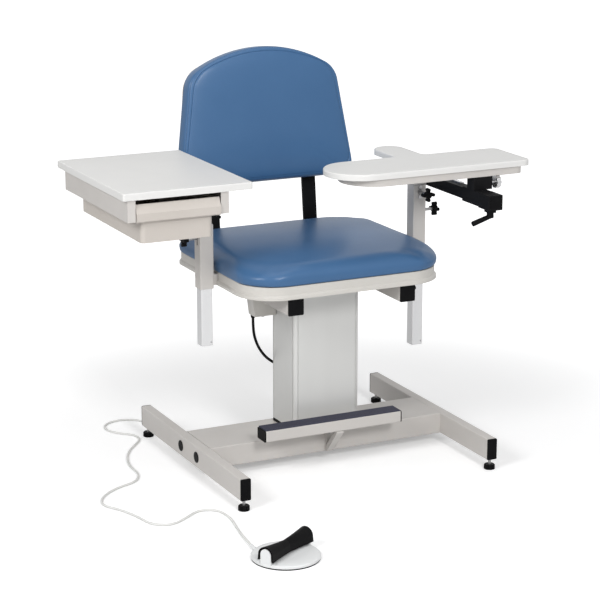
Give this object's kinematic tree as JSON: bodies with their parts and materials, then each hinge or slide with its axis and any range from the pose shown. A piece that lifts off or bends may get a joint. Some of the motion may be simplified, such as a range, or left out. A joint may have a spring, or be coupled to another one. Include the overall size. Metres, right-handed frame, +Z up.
{
  "type": "phlebotomy chair",
  "caption": "Blood draw chair with power lift column, padded blue seat and back, drawer desk on one arm post, flip-up arm board on the other, and a corded foot switch.",
  "frame": {"origin": "on the floor at the middle of the four levelling feet", "axes": "+Z is up, the sitter faces -Y, +X is towards the flip-up arm"},
  "size_m": [1.1597, 1.2107, 1.0552],
  "materials": {
    "frame_paint": "satin light grey powder coat",
    "shroud_plastic": "satin light grey moulding",
    "column_anodised": "satin silver anodised",
    "bright_steel": "bright plated",
    "bare_steel": "machined",
    "black_steel": "black powder coat",
    "black_plastic": "moulded black",
    "grip_rubber": "ribbed dark navy",
    "laminate": "pale grey laminate on board",
    "plywood": "plain birch",
    "vinyl": "blue upholstery vinyl over foam",
    "white_plastic": "white moulding",
    "white_cord": "white cord sheath"
  },
  "bodies": {
    "base": {"rail_left": "frame_paint", "rail_right": "frame_paint", "crossbeam": "frame_paint", "base_caps": "black_plastic", "base_fasteners": "bare_steel", "footrest_bar": "frame_paint", "footrest_grip": "grip_rubber", "footrest_bracket": "frame_paint", "column_base_plate": "black_steel", "column_inner_profile": "column_anodised", "column_glides": "white_plastic", "thrust_tube": "bare_steel", "spindle_nut": "white_plastic", "switch_base": "white_plastic", "cord_glands": "white_plastic", "switch_cord": "white_cord"},
    "foot_fl": {"foot_front_left": "black_plastic"},
    "foot_fr": {"foot_front_right": "black_plastic"},
    "foot_rl": {"foot_rear_left": "black_plastic"},
    "foot_rr": {"foot_rear_right": "black_plastic"},
    "seat": {"column_outer_profile": "column_anodised", "column_wiper": "black_plastic", "lift_motor": "black_plastic", "seat_frame": "frame_paint", "seat_tube_caps": "black_plastic", "seat_pan": "shroud_plastic", "seat_board": "plywood", "seat_cushion": "vinyl", "back_uprights": "black_steel", "back_bolts": "bare_steel", "back_board": "plywood", "back_cushion": "vinyl", "control_box": "shroud_plastic", "box_fittings": "black_plastic", "motor_cable": "black_plastic", "post_sleeve_left": "frame_paint", "post_sleeve_right": "frame_paint", "sleeve_fasteners": "bare_steel"},
    "spindle": {"lift_spindle": "bare_steel"},
    "small_knob": {"seat_knob": "black_plastic"},
    "left_post": {"post_tube_left": "bright_steel", "desk_board": "laminate", "drawer_channels": "frame_paint", "desk_fasteners": "bare_steel"},
    "left_front_knob": {"front_knob_left": "black_plastic"},
    "left_side_knob": {"side_knob_left": "black_plastic"},
    "drawer": {"drawer_tray": "shroud_plastic"},
    "right_post": {"post_tube_right": "bright_steel", "arm_pivot": "bare_steel"},
    "right_front_knob": {"front_knob_right": "black_plastic"},
    "right_side_knob": {"side_knob_right": "black_plastic"},
    "arm": {"arm_beam": "black_steel", "arm_beam_plugs": "black_plastic"},
    "arm_carriage": {"arm_slide_sleeve": "black_steel", "arm_block": "black_steel", "arm_tray": "frame_paint", "arm_board": "laminate"},
    "wing_knob": {"arm_wing_knob": "bright_steel"},
    "lock_lever": {"arm_lock_lever": "black_plastic"},
    "pedal": {"switch_pedal": "black_plastic"}
  },
  "joints": [
    {"name": "seat_lift", "type": "slide", "parent": "base", "child": "seat", "axis": [0, 0, 1], "range_m": [0, 0.2]},
    {"name": "spindle_turn", "type": "hinge", "parent": "seat", "child": "spindle", "pos_m": [0, 0, 0.24], "axis": [0, 0, 1], "range_deg": [0, 7201]},
    {"name": "left_post_height", "type": "slide", "parent": "seat", "child": "left_post", "axis": [0, 0, 1], "range_m": [-0.006, 0.072]},
    {"name": "drawer_slide", "type": "slide", "parent": "left_post", "child": "drawer", "axis": [0, -1, 0], "range_m": [0, 0.25]},
    {"name": "left_side_knob_turn", "type": "hinge", "parent": "left_post", "child": "left_side_knob", "pos_m": [-0.36, 0.017, 0.622], "axis": [-1, 0, 0], "continuous": true},
    {"name": "left_front_knob_turn", "type": "hinge", "parent": "seat", "child": "left_front_knob", "pos_m": [-0.311, -0.04, 0.688], "axis": [0, -1, 0], "continuous": true},
    {"name": "right_post_height", "type": "slide", "parent": "seat", "child": "right_post", "axis": [0, 0, 1], "range_m": [0, 0.06]},
    {"name": "right_side_knob_turn", "type": "hinge", "parent": "right_post", "child": "right_side_knob", "pos_m": [0.36, 0.017, 0.634], "axis": [1, 0, 0], "continuous": true},
    {"name": "right_front_knob_turn", "type": "hinge", "parent": "seat", "child": "right_front_knob", "pos_m": [0.311, -0.04, 0.688], "axis": [0, -1, 0], "continuous": true},
    {"name": "arm_flip", "type": "hinge", "parent": "right_post", "child": "arm", "pos_m": [0.347, 0.017, 0.719], "axis": [-1, 0, 0], "range_deg": [0, 95]},
    {"name": "arm_slide", "type": "slide", "parent": "arm", "child": "arm_carriage", "axis": [0, 1, 0], "range_m": [0, 0.05]},
    {"name": "wing_knob_turn", "type": "hinge", "parent": "arm_carriage", "child": "wing_knob", "pos_m": [0.404, -0.2395, 0.7525], "axis": [1, 0, 0], "continuous": true},
    {"name": "lock_lever_turn", "type": "hinge", "parent": "arm_carriage", "child": "lock_lever", "pos_m": [0.347, -0.3067, 0.685], "axis": [0, 0, 1], "range_deg": [-20, 110]},
    {"name": "small_knob_turn", "type": "hinge", "parent": "seat", "child": "small_knob", "pos_m": [0.19, -0.168, 0.478], "axis": [1, 0, 0], "continuous": true},
    {"name": "pedal_rock", "type": "hinge", "parent": "base", "child": "pedal", "pos_m": [-0.396, -0.65, 0.032], "axis": [0.8704, 0.4924, 0], "range_deg": [-7, 7], "stiffness_Nm_per_rad": 0.8},
    {"name": "foot_fl_turn", "type": "hinge", "parent": "base", "child": "foot_fl", "pos_m": [-0.355, -0.32, 0.02], "axis": [0, 0, 1], "continuous": true},
    {"name": "foot_rl_turn", "type": "hinge", "parent": "base", "child": "foot_rl", "pos_m": [-0.355, 0.32, 0.02], "axis": [0, 0, 1], "continuous": true},
    {"name": "foot_fr_turn", "type": "hinge", "parent": "base", "child": "foot_fr", "pos_m": [0.355, -0.32, 0.02], "axis": [0, 0, 1], "continuous": true},
    {"name": "foot_rr_turn", "type": "hinge", "parent": "base", "child": "foot_rr", "pos_m": [0.355, 0.32, 0.02], "axis": [0, 0, 1], "continuous": true}
  ],
  "couplings": [
    {"joint": "spindle_turn", "follows": "seat_lift", "rad_per_m": 628.32}
  ]
}
